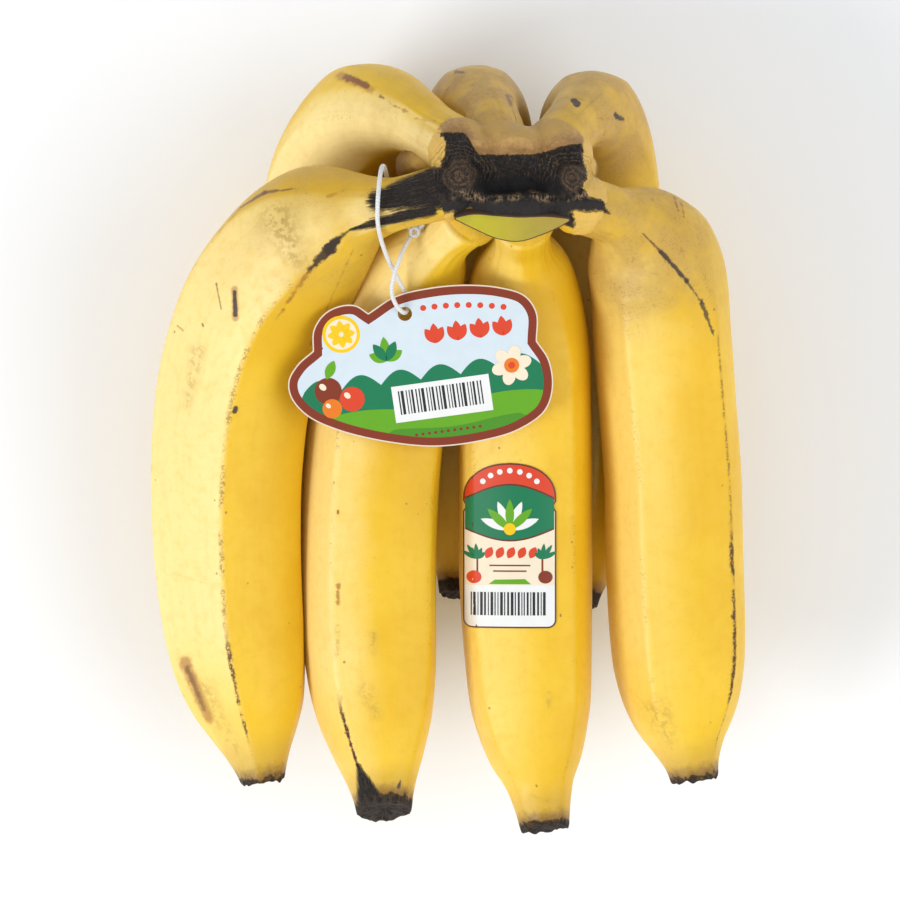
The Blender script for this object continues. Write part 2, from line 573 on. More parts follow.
# marks seen from above: start and end in mm, half width at each, soft edge, strength, tone, raggedness
peelMarks = {
    "banana_front_1": [
        (2, 69.4, -18.5, 64.8, 7.2, 3.0, 0.9, 1.0, "black", 1.3),
        (-5, 62.4, -20.3, 58.8, 1.9, 1.2, 0.6, 1.0, "black", 0.6),
        (-20.3, 58.8, -26, 57.4, 1.1, 0.3, 0.5, 1.0, "black", 0.5),
        (-26, 57.4, -31, 53.4, 0.4, 1.3, 0.7, 0.85, "dark", 0.5),
        (-28.3, 56, -31.6, 52.4, 0.8, 2.0, 0.8, 0.95, "dark", 0.9),
        (-31.6, 52.4, -37, 46.8, 2.0, 0.9, 0.8, 0.95, "dark", 1.0),
        (-37, 46.8, -45.4, 34.6, 0.8, 0.6, 1.0, 0.75, "rust", 1.2),
        (-25, 53, -37, 28, 0.35, 0.5, 0.6, 0.5, "rust", 0.5),
        (-55.3, 64, -48.7, 67.7, 0.5, 0.9, 0.6, 0.85, "brown", 0.4),
        (-48.7, 67.7, -40.3, 68.4, 0.9, 0.3, 0.6, 0.8, "brown", 0.4),
        (-63, 55, -55.3, 64, 0.3, 0.6, 0.6, 0.45, "rust", 0.4),
        (-32, 66, -28, 67.5, 0.7, 0.5, 0.8, 0.5, "rust", 0.9),
        (-56.7, 42.3, -56.5, 34.8, 1.3, 1.3, 0.8, 0.6, "rust", 0.3),
        (-56.7, 41.6, -56.5, 35.6, 0.7, 0.8, 0.4, 0.95, "dark", 0.2),
        (-61.7, 43.9, -60.4, 37.2, 0.45, 0.35, 0.4, 0.8, "brown", 0.2),
        (-65.6, 33.4, -65.4, 32.8, 0.45, 0.45, 0.4, 0.8, "brown", 0.1),
        (-72.6, 33, -71, 31.8, 0.5, 0.4, 0.4, 0.6, "rust", 0.4),
        (-56.7, 11.2, -57, 10.2, 0.8, 0.9, 0.5, 0.95, "dark", 0.3),
        (-71.2, -57, -64.8, -72, 2.6, 2.2, 1.8, 0.7, "rust", 0.9),
        (-70.5, -58.6, -66, -69.6, 1.2, 1.0, 1.0, 0.75, "brown", 0.7),
        (-74, -32.9, -63.7, -36, 0.5, 0.4, 0.6, 0.5, "olive", 0.8),
        (-45, 60, -40, 50, 8.0, 6.0, 6.0, 0.75, "olive", 3.0),
        (-67, 26, -70, 12, 4.0, 3.0, 3.0, 0.5, "olive", 2.0),
        (-66, -64, -58, -80, 5.0, 4.0, 4.0, 0.5, "olive", 2.0),
    ],
    "banana_front_2": [
        (-24.4, -84, -21.6, -92.5, 0.7, 3.4, 0.7, 1.0, "black", 0.6),
        (-13.2, -88.2, -13.7, -89.8, 0.4, 0.7, 0.4, 0.95, "dark", 0.2),
        (-29.8, -16.2, -29.8, -16.8, 0.5, 0.5, 0.4, 0.8, "brown", 0.2),
        (-29.8, -36, -29.8, -41, 0.9, 0.7, 0.8, 0.75, "rust", 0.9),
        (-29.9, -47, -29.9, -54.5, 1.2, 0.9, 1.0, 0.7, "olive", 1.0),
        (-20.5, -49, -20.5, -54, 1.8, 1.5, 1.6, 0.75, "olive", 1.2),
        (-22.5, -64, -19.5, -70, 4.0, 3.4, 3.0, 0.4, "olive", 2.0),
        (-6, 52, -4.6, 45, 0.4, 0.6, 0.8, 0.3, "olive", 0.8),
    ],
    "banana_front_3": [
        (26.1, -65, 26.3, -68, 1.8, 1.6, 1.6, 0.5, "olive", 1.2),
        (29.5, -43.9, 29.5, -44.3, 0.4, 0.4, 0.3, 0.7, "brown", 0.1),
        (20.5, -92.5, 30, -94.5, 1.2, 1.2, 1.0, 0.4, "olive", 0.8),
        (23, -89.5, 23.2, -89.8, 0.4, 0.4, 0.3, 0.6, "brown", 0.1),
    ],
    "banana_front_4": [
        (33.4, 65, 41.4, 61.8, 3.6, 0.3, 0.7, 1.0, "black", 0.7),
        (50.5, 56.6, 55.4, 52, 0.3, 0.7, 0.5, 0.9, "brown", 0.4),
        (55.4, 52, 62.3, 44.6, 0.9, 0.8, 0.6, 0.95, "dark", 0.5),
        (62.3, 44.6, 66.5, 39, 0.6, 0.7, 0.6, 0.8, "dark", 0.6),
        (66.5, 39, 69.9, 30.5, 1.0, 0.5, 0.6, 0.85, "dark", 0.8),
        (59.2, 67, 60.2, 63, 0.6, 0.5, 0.5, 0.7, "brown", 0.7),
        (61, 65.4, 61.8, 61.4, 0.6, 0.4, 0.5, 0.6, "brown", 0.7),
        (56.5, 69.6, 57.2, 68.4, 0.5, 0.5, 0.5, 0.5, "rust", 0.6),
        (55.5, -70, 58.5, -77, 6.5, 4.5, 5.0, 0.5, "olive", 2.0),
        (49.5, -65, 54, -71, 0.5, 0.5, 0.6, 0.35, "olive", 0.6),
    ],
    "banana_back_1": [
        (-27.9, 100, -22.4, 96.8, 1.3, 1.2, 0.7, 0.95, "brown", 0.8),
        (-29.5, 100.6, -21, 95.4, 2.0, 1.6, 1.6, 0.55, "rust", 1.0),
        (-18.4, 93.6, -17.6, 93, 0.8, 0.6, 0.6, 0.75, "brown", 0.6),
        (-16, 91.6, -10.4, 88.4, 0.5, 0.5, 0.6, 0.6, "rust", 1.0),
        (-9, 87, 0.5, 84.6, 0.5, 0.4, 0.8, 0.4, "rust", 1.0),
    ],
    "banana_back_2": [
        (1.6, 101.4, 3.6, 100.8, 0.9, 0.7, 0.6, 0.85, "brown", 0.6),
        (15.4, 93.4, 16, 91, 1.2, 1.0, 1.0, 0.75, "brown", 1.2),
        (9, 98, 14, 95, 2.5, 2.0, 2.0, 0.4, "olive", 1.6),
        (10.4, 84, 13.4, 83.6, 0.6, 0.5, 0.5, 0.7, "dark", 0.5),
    ],
    "banana_back_3": [
        (32.7, 91.6, 33.4, 91, 1.3, 1.3, 0.5, 0.95, "dark", 0.7),
        (44.2, 88.6, 45.6, 88, 1.2, 0.9, 0.5, 0.95, "dark", 0.7),
        (38.8, 87.2, 43, 87.6, 0.4, 0.5, 0.6, 0.5, "rust", 0.8),
        (50.8, 75.6, 52, 74.6, 0.9, 0.9, 0.8, 0.6, "rust", 0.8),
        (33, 97, 40, 99, 2.0, 1.5, 1.6, 0.4, "olive", 1.4),
    ],
}


fingerTrees = {}
for fingerName, fingerSpec in fingers.items():
    fingerBm, fingerLength = fingerShape(fingerSpec)
    fingerTrees[fingerName] = BVHTree.FromBMesh(fingerBm)
    fingerSkin = peelMaterial(fingerName, fingerSpec, fingerLength)
    fingerPiece = makeObject("peel_" + fingerName, fingerBm, [fingerSkin], levels=1)
    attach(fingerPiece, "root")
    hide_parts(fingerName)
print("fingers done")


# crown

# stubs: centre in plan and size of the two ringed ends of the stalk
crown = {
    "voxel": 0.5, "top": 95.5, "collar": 0.7,
    "drop": {"banana_front_2": 3.4, "banana_front_3": 3.4, "banana_back_2": 1.0, "banana_back_3": 1.0},
    "stubs": [((2.2, 70.8), 4.3), ((31.4, 70.4), 3.7)],
    "lumps": [((17, 71, 83), (20, 12, 13)), ((5.5, 77, 85.5), (8, 6.5, 10)), ((17.5, 78, 86), (9, 7, 9)),
              ((29.5, 77, 85.5), (8, 6.5, 10)), ((3.6, 70, 88), (5.4, 8, 8)), ((4.2, 77.4, 90), (3.4, 5.4, 6)),
              ((31.2, 69, 88), (5.2, 8, 8)), ((32.2, 75, 90), (3.4, 5, 6)), ((17, 64, 86), (16, 6.5, 9)),
              ((-6, 75.5, 70), (8.5, 6.5, 11)), ((33.5, 74, 74), (5.5, 6, 13))],
}


def crownHeight(x, y):
    # The dried cut face: two raised stubs with arcs over them, a hollow between and a torn ledge in front
    swirl = noise.noise(Vector((x * 0.3, y * 0.3, 7))) * 1.6
    height = 0.0
    for (cx, cy), size in crown["stubs"]:
        away = math.hypot(x - cx, y - cy) + swirl * 0.5
        height += 1.4 * (1 - ease(away, size * 0.75, size * 1.15))
        arcs = ease(away, size, size * 1.2) * (1 - ease(away, size * 1.9, size * 2.4))
        arcs *= ease(y, cy - 2, cy + 2)
        height += 0.32 * math.sin(away * 5.6) * arcs
    inside = ease(x, 6.6, 9.5) * (1 - ease(x, 24, 27.5)) * ease(y, 65.8, 67.4) * (1 - ease(y, 70, 77))
    height -= 4.0 * inside
    height += 0.5 * noise.noise(Vector((x * 1.5, y * 0.3, 2))) * inside
    ledge = math.exp(-((y - 65.4 - 0.7 * math.sin(x * 0.4)) / 0.7) ** 2)
    ledge *= ease(x, 2, 6) * (1 - ease(x, 30, 33))
    height += 1.1 * ledge * (0.6 + noise.noise(Vector((x * 0.9, y * 0.9, 1))))
    rough = ease(y, 64.2, 65.8)
    crumbs = 0.6 * noise.noise(Vector((x * 0.45, y * 0.45, 4)))
    crumbs += 0.3 * noise.noise(Vector((x * 1.6, y * 1.6, 9)))
    return height + crumbs * rough


def crownShape():
    bm = bmesh.new()
    collars = []
    for node, spec in fingers.items():
        start, after = [Vector(p) for p in spec["axis"][:2]]
        wide = spec["radius"] * spec["profile"][0][1] + crown["collar"]
        centre = start + (start - after).normalized() - Vector((0, 0, crown["drop"].get(node, 0)))
        collars.append((centre, (wide, wide, wide)))
    for centre, half in crown["lumps"] + collars:
        fresh = bmesh.ops.create_uvsphere(bm, u_segments=32, v_segments=20, radius=1.0)["verts"]
        bmesh.ops.scale(bm, vec=half, verts=fresh)
        bmesh.ops.translate(bm, vec=centre, verts=fresh)
    rough = makeObject("crownLumps", bm)
    remesh = rough.modifiers.new("join", "REMESH")
    remesh.mode = "VOXEL"
    remesh.voxel_size = crown["voxel"]
    depsgraph = bpy.context.evaluated_depsgraph_get()
    joined = bpy.data.meshes.new_from_object(rough.evaluated_get(depsgraph))
    bpy.data.objects.remove(rough)
    bm = bmesh.new()
    bm.from_mesh(joined)
    for _ in range(8):
        bmesh.ops.smooth_vert(bm, verts=bm.verts, factor=0.5,
                              use_axis_x=True, use_axis_y=True, use_axis_z=True)
    for vertex in bm.verts:
        x, y, z = vertex.co
        cut = crown["top"] - 1.6 * ease(y, 75.5, 79) - 2.6 * (1 - ease(y, 59.5, 64.5))
        face = ease(z, cut - 2.5, cut)
        if face > 0:
            vertex.co.z = min(z, cut) + crownHeight(x, y) * face * (1 - 0.85 * ease(y, 77, 79.5))
        wrinkle = noise.noise(vertex.co * 0.5) * 0.3 + noise.noise(vertex.co * 1.7) * 0.12
        vertex.co += vertex.normal * wrinkle
    for vertex in bm.verts:
        vertex.co = place(vertex.co)
    bmesh.ops.recalc_face_normals(bm, faces=bm.faces)
    return bm


def crownMaterial():
    material, tree, shader = newMaterial("dried_crown")
    point = vecCalc(tree, "SUBTRACT", objectPoint(tree), tuple(placeShift))
    x, y, z = splitXYZ(tree, point)
    grain = speck(tree, point, 0.9, 6.0, 0.7)
    fleck = speck(tree, point, 2.4, 4.0, 0.7)
    broad = speck(tree, point, 0.16, 3.0)
    strands = speck(tree, joinXYZ(tree, times(tree, x, 1.9), times(tree, y, 0.4), z), 1.0, 4.0, 0.7)
    dry = blend(tree, fade(tree, grain, 0.42, 0.68), linear(21, 18, 18), linear(58, 48, 42))
    hollow = times(tree, fade(tree, z, 96.0, 93.0), fade(tree, y, 65.5, 67.0))
    fibres = times(tree, fade(tree, strands, 0.56, 0.66), fade(tree, y, 68.0, 72.0, 0.1, 0.7))
    dry = blend(tree, fibres, dry, linear(122, 94, 68))
    dry = blend(tree, times(tree, hollow, fade(tree, y, 73.0, 69.5, 0.0, 0.85)), dry, linear(12, 11, 12))
    # pithy stubs and the arcs over them
    arcs = 0.0
    for (cx, cy), size in crown["stubs"]:
        offset = vecCalc(tree, "SUBTRACT", point, (cx, cy, 0))
        away = vecCalc(tree, "LENGTH", vecCalc(tree, "MULTIPLY", offset, (1, 1, 0)))
        away = plus(tree, away, times(tree, minus(tree, broad, 0.5), 5.0))
        pith = fade(tree, away, size * 1.1, size * 0.85)
        pith = times(tree, pith, fade(tree, fleck, 0.4, 0.58, 0.15, 0.9))
        rings = calc(tree, "SINE", plus(tree, times(tree, away, 4.4), times(tree, grain, 5.0)))
        pith = times(tree, pith, fade(tree, rings, -0.7, 0.6, 0.3, 1.0))
        dry = blend(tree, pith, dry, linear(124, 98, 74))
        wave = fade(tree, calc(tree, "SINE", times(tree, away, 5.6)), 0.2, 0.95)
        band = times(tree, fade(tree, away, size, size * 1.2), fade(tree, away, size * 2.4, size * 1.8))
        band = times(tree, band, fade(tree, y, cy - 2.0, cy + 2.0))
        arcs = larger(tree, arcs, times(tree, wave, band))
    arcs = times(tree, arcs, fade(tree, fleck, 0.42, 0.56, 0.0, 0.8))
    dry = blend(tree, arcs, dry, linear(138, 112, 86))
    # torn pale fibres along the ledge, and a smooth band below it
    bend = plus(tree, times(tree, calc(tree, "SINE", times(tree, x, 0.4)), 0.7), 65.6)
    line = calc(tree, "ABSOLUTE", minus(tree, plus(tree, y, times(tree, broad, 2.0)), plus(tree, bend, 1.0)))
    chunks = speck(tree, joinXYZ(tree, x, times(tree, y, 0.5), 4.0), 0.22, 2.0)
    threads = times(tree, plus(tree, grain, strands), 0.5)
    torn = times(tree, fade(tree, line, 1.9, 0.3), fade(tree, threads, 0.46, 0.54))
    torn = times(tree, torn, fade(tree, chunks, 0.44, 0.56, 0.12, 1.0))
    dry = blend(tree, torn, dry, linear(168, 140, 106))
    smooth = fade(tree, y, 65.0, 64.0)
    bandTone = blend(tree, grain, linear(24, 22, 23), linear(46, 41, 39))
    dry = blend(tree, times(tree, smooth, 0.85), dry, bandTone)
    # weathered skin on the far side, above the cut's wavy edge
    edge = plus(tree, fade(tree, x, 8.0, 3.2, 0.0, 6.0), fade(tree, x, 20.0, 34.0, 0.0, 3.0))
    edge = plus(tree, plus(tree, edge, 76.2), times(tree, minus(tree, grain, 0.5), 1.6))
    living = fade(tree, minus(tree, y, edge), 0.0, 0.5)
    low = fade(tree, plus(tree, z, times(tree, grain, 3.0)), 88.5, 87.0)
    skin = blend(tree, fade(tree, grain, 0.35, 0.65), linear(194, 154, 92), linear(172, 132, 76))
    skin = blend(tree, fade(tree, minus(tree, y, edge), 4.0, 0.3, 0.0, 0.7), skin, linear(132, 94, 50))
    skin = blend(tree, fade(tree, minus(tree, y, edge), 2.6, 6.0), skin, linear(190, 153, 84))
    skin = blend(tree, fade(tree, fleck, 0.6, 0.7, 0.0, 0.3), skin, linear(112, 78, 44))
    skin = blend(tree, fade(tree, y, 66.0, 61.0), skin, linear(226, 182, 44))
    # living skin reaches round both ends of the cut, where the outer necks leave it
    wander = plus(tree, times(tree, grain, 2.6), times(tree, broad, 5.0))
    wander = minus(tree, wander, 3.8)
    borderX = plus(tree, x, wander)
    borderY = plus(tree, y, times(tree, wander, 0.6))
    leftSkin = times(tree, fade(tree, borderX, -1.4, -2.2), fade(tree, borderY, 73.0, 74.0))
    foot = times(tree, fade(tree, borderX, 1.4, 0.6), fade(tree, borderY, 62.2, 61.4))
    front = times(tree, fade(tree, borderY, 64.0, 62.5), fade(tree, z, 92.4, 91.6))
    beyond = minus(tree, borderX, 33.4)
    away = calc(tree, "ABSOLUTE", plus(tree, minus(tree, borderY, 65.0), times(tree, beyond, 0.4)))
    away = plus(tree, minus(tree, away, 3.6), times(tree, beyond, 0.41))
    rightSkin = times(tree, fade(tree, borderX, 34.0, 34.8), fade(tree, away, 0.0, 0.6))
    rightFoot = times(tree, fade(tree, borderX, 31.0, 31.8), fade(tree, borderY, 62.4, 61.6))
    sides = larger(tree, leftSkin, larger(tree, rightSkin, larger(tree, foot, rightFoot)))
    skin = blend(tree, times(tree, sides, 0.85), skin, linear(224, 184, 92))
    skin = blend(tree, fade(tree, z, 82.0, 76.0), skin, linear(136, 96, 28))
    cover = larger(tree, larger(tree, living, low), larger(tree, sides, front))
    feed(tree, shader.inputs["Base Color"], blend(tree, cover, dry, skin))
    shader.inputs["Specular IOR Level"].default_value = 0.4
    glossy = larger(tree, cover, times(tree, smooth, 0.55))
    feed(tree, shader.inputs["Roughness"], fade(tree, glossy, 0.0, 1.0, 0.8, 0.5))
    height = plus(tree, times(tree, grain, 1.3), times(tree, strands, 0.9))
    height = plus(tree, height, times(tree, arcs, 0.8))
    height = times(tree, height, fade(tree, glossy, 0.0, 1.0, 1.0, 0.2))
    feed(tree, shader.inputs["Normal"], bumpFrom(tree, height, 1.0, 0.0013))
    return material


crownPiece = makeObject("crown_dried", crownShape(), [crownMaterial()])
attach(crownPiece, "root")
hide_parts("crown")


# the fresh green heel below the cut, a lens of bare skin with a brown rim
heel = {"top": [(1, 60.6), (6, 61.6), (12, 61.2), (18, 60.8), (25, 61), (31, 60.4)],
        "bottom": [(31.5, 59.4), (28.5, 57.6), (24, 55.6), (18, 53.8), (12, 54.6), (6, 57.2), (1.2, 59.6)],
        "depth": 7.0, "height": 93.2, "lean": 14}


def heelShape():
    bm = bmesh.new()
    top = smoothPath([(x, y, 0) for x, y in heel["top"]], 5)
    bottom = smoothPath([(x, y, 0) for x, y in heel["bottom"]], 5)
    corners = [bm.verts.new(p) for p in top + bottom]
    face = bm.faces.new(corners)
    middle = face.calc_center_median()
    bmesh.ops.translate(bm, vec=-middle, verts=bm.verts)
    bottomFace = bmesh.ops.extrude_face_region(bm, geom=[face])["geom"]
    moved = [g for g in bottomFace if isinstance(g, bmesh.types.BMVert)]
    bmesh.ops.translate(bm, vec=(0, 2.2, -heel["depth"]), verts=moved)
    bmesh.ops.recalc_face_normals(bm, faces=bm.faces)
    edges = [e for e in bm.edges if all(abs(v.co.z) < 1e-6 for v in e.verts)]
    for face in bm.faces:
        face.material_index = 0 if face.normal.z > 0.7 else 1
    rim = bmesh.ops.bevel(bm, geom=edges, offset=0.45, segments=2, profile=0.5, affect="EDGES", material=-1)
    for face in rim["faces"]:
        face.material_index = 1
    lean = Matrix.Rotation(math.radians(heel["lean"]), 3, "X")
    bmesh.ops.rotate(bm, cent=(0, 0, 0), matrix=lean, verts=bm.verts)
    bmesh.ops.translate(bm, vec=(middle.x, middle.y, heel["height"]), verts=bm.verts)
    bmesh.ops.triangulate(bm, faces=[f for f in bm.faces if len(f.verts) > 4])
    bmesh.ops.subdivide_edges(bm, edges=bm.edges, cuts=2, use_grid_fill=True)
    for vertex in bm.verts:
        vertex.co += Vector((0, 0, 1)) * noise.noise(vertex.co * 0.3) * 0.4
        vertex.co = place(vertex.co)
    return bm


def heelMaterial():
    material, tree, shader = newMaterial("heel_skin")
    point = vecCalc(tree, "SUBTRACT", objectPoint(tree), tuple(placeShift))
    x, _, z = splitXYZ(tree, point)
    broad = speck(tree, point, 0.12, 3.0)
    fine = speck(tree, point, 1.2, 4.0, 0.6)
    colour = blend(tree, fade(tree, x, 6.0, 28.0), linear(184, 174, 34), linear(166, 144, 58))
    colour = blend(tree, fade(tree, broad, 0.4, 0.65, 0.0, 0.4), colour, linear(150, 150, 46))
    colour = blend(tree, fade(tree, fine, 0.5, 0.75, 0.0, 0.2), colour, linear(196, 170, 70))
    low = fade(tree, z, 91.2, 90.2)
    colour = blend(tree, low, colour, linear(120, 80, 50))
    feed(tree, shader.inputs["Base Color"], colour)
    shader.inputs["Roughness"].default_value = 0.42
    shader.inputs["Specular IOR Level"].default_value = 0.4
    shader.inputs["Subsurface Weight"].default_value = 0.1
    shader.inputs["Subsurface Scale"].default_value = 0.002
    feed(tree, shader.inputs["Normal"], bumpFrom(tree, fine, 0.25, 0.0004))
    return material


heelRim = plainMaterial("heel_rim", linear(74, 52, 40), 0.7)
heelPiece = makeObject("crown_heel", heelShape(), [heelMaterial(), heelRim])
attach(heelPiece, "root")
print("crown done")


# flat print: outlines filled as thin layers

inks = {
    "card": plainMaterial("ink_card", linear(222, 208, 190), 0.6, 0.1),
    "brown": plainMaterial("ink_brown", linear(128, 48, 22), 0.42),
    "field": plainMaterial("ink_field", linear(206, 220, 230), 0.42),
    "green": plainMaterial("ink_green", linear(8, 118, 78), 0.42),
    "leaf": plainMaterial("ink_leaf", linear(96, 164, 24), 0.42),
    "red": plainMaterial("ink_red", linear(214, 66, 36), 0.42),
    "yellow": plainMaterial("ink_yellow", linear(240, 196, 8), 0.42),
    "white": plainMaterial("ink_white", linear(232, 234, 234), 0.42),
    "black": plainMaterial("ink_black", linear(34, 34, 38), 0.42),
    "lime": plainMaterial("ink_lime", linear(70, 140, 30), 0.42),
    "orange": plainMaterial("ink_orange", linear(226, 120, 24), 0.42),
    "cream": plainMaterial("ink_cream", linear(236, 224, 200), 0.42),
    "rim": plainMaterial("ink_rim", linear(96, 50, 34), 0.42),
}
inkOrder = list(inks)


def ovalPoints(cx, cy, rx, ry, turn=0.0, count=28):
    c, s = math.cos(math.radians(turn)), math.sin(math.radians(turn))
    out = []
    for i in range(count):
        a = 2 * math.pi * i / count
        px, py = rx * math.cos(a), ry * math.sin(a)
        out.append((cx + px * c - py * s, cy + px * s + py * c))
    return out


def boxPoints(x0, y0, x1, y1):
    return [(x0, y0), (x1, y0), (x1, y1), (x0, y1)]


def leafPoints(cx, cy, length, width, turn, count=9):
    c, s = math.cos(math.radians(turn)), math.sin(math.radians(turn))
    side = [(length * i / count, width * math.sin(math.pi * i / count) ** 0.8) for i in range(count + 1)]
    loop = side + [(x, -y) for x, y in reversed(side[1:-1])]
    return [(cx + x * c - y * s, cy + x * s + y * c) for x, y in loop]


def addShape(bm, points, ink, level):
    corners = [bm.verts.new((x, y, level)) for x, y in points]
    face = bm.faces.new(corners)
    face.normal_update()
    if face.normal.z < 0:
        face.normal_flip()
    face.material_index = inkOrder.index(ink)
    return face


tag = {"thickness": 0.5, "holeRadius": 1.9, "hole": (-2, 14.5), "centre": (-7.9, 22.2, 73.4),
       "turn": 8, "tilt": 11, "border": 2.5, "step": 0.02,
       "ear": [(-27.5, 8), (-26.5, 13.5), (-23, 17.5), (-18.5, 19), (-14.5, 18.5), (-11.5, 16)],
       "brow": [(-11.5, 16), (-4, 19.5), (5.5, 20.5), (15, 20), (24, 18), (30, 15), (32.5, 10), (31.5, 2.5)],
       "belly": [(31.5, 2.5), (34, -3), (34, -10.5), (31, -16.5), (23.5, -20.5), (15, -22), (1.5, -22),
                 (-11.5, -19), (-24, -14), (-31.5, -9), (-35, -3.5), (-35, 1), (-32, 5), (-27.5, 8)]}


def tagOutline():
    loop = []
    for run in (tag["ear"], tag["brow"], tag["belly"]):
        loop += smoothPath([(x, y, 0) for x, y in run], 7)[1:]
    return [(p.x, p.y) for p in loop]


def insetLoop(points, distance):
    bm = bmesh.new()
    face = addShape(bm, points, "card", 0)
    bmesh.ops.inset_region(bm, faces=[face], thickness=distance, use_even_offset=True, use_boundary=True)
    inner = [(v.co.x, v.co.y) for v in face.verts]
    bm.free()
    return inner


def tagMatrix():
    turn = Matrix.Rotation(math.radians(tag["turn"]), 4, "Z")
    tilt = Matrix.Rotation(math.radians(tag["tilt"]), 4, "X")
    return Matrix.Translation(Vector(tag["centre"])) @ tilt @ turn


def settle(bm, matrix, curl=None):
    for vertex in bm.verts:
        co = vertex.co.copy()
        if curl:
            co.z += curl(co.x, co.y)
        vertex.co = place(matrix @ co)


def tagCurl(x, y):
    return 0.0006 * x * x + 0.5 * ease(y, 6, 20) * 0.4 + 0.25 * math.sin(x * 0.09 + 1)


def cutGrid(bm, stepX, stepY, halfX, halfY):
    for axis, step, half in ((0, stepX, halfX), (1, stepY, halfY)):
        count = int(2 * half / step)
        for i in range(1, count):
            middle = [0.0, 0.0, 0.0]
            middle[axis] = -half + i * step
            normal = [0.0, 0.0, 0.0]
            normal[axis] = 1.0
            geom = bm.verts[:] + bm.edges[:] + bm.faces[:]
            bmesh.ops.bisect_plane(bm, geom=geom, plane_co=middle, plane_no=normal, dist=1e-5)


def punchHole(bm, centre, radius):
    # Cuts faces along the hole's sides, then drops those inside it
    sides = 24

    def fromCentre(face):
        return (face.calc_center_median().xy - Vector(centre)).length

    for i in range(sides):
        a = 2 * math.pi * (i + 0.5) / sides
        normal = (math.cos(a), math.sin(a), 0)
        reach = radius * math.cos(math.pi / sides)
        middle = (centre[0] + normal[0] * reach, centre[1] + normal[1] * reach, 0)
        near = [f for f in bm.faces if fromCentre(f) < radius * 3 or len(f.verts) > 12]
        geom = list({g for f in near for g in (*f.verts, *f.edges, f)})
        bmesh.ops.bisect_plane(bm, geom=geom, plane_co=middle, plane_no=normal, dist=1e-6)
    inside = [f for f in bm.faces if fromCentre(f) < radius * 0.97]
    bmesh.ops.delete(bm, geom=inside, context="FACES")


def tagCard():
    bm = bmesh.new()
    addShape(bm, tagOutline(), "card", 0)
    cutGrid(bm, 5.0, 5.0, 37.0, 24.0)
    punchHole(bm, tag["hole"], tag["holeRadius"])
    faces = bm.faces[:]
    grown = bmesh.ops.extrude_face_region(bm, geom=faces)["geom"]
    raised = [g for g in grown if isinstance(g, bmesh.types.BMVert)]
    bmesh.ops.translate(bm, vec=(0, 0, tag["thickness"]), verts=raised)
    bmesh.ops.recalc_face_normals(bm, faces=bm.faces)
    settle(bm, tagMatrix(), tagCurl)
    return bm


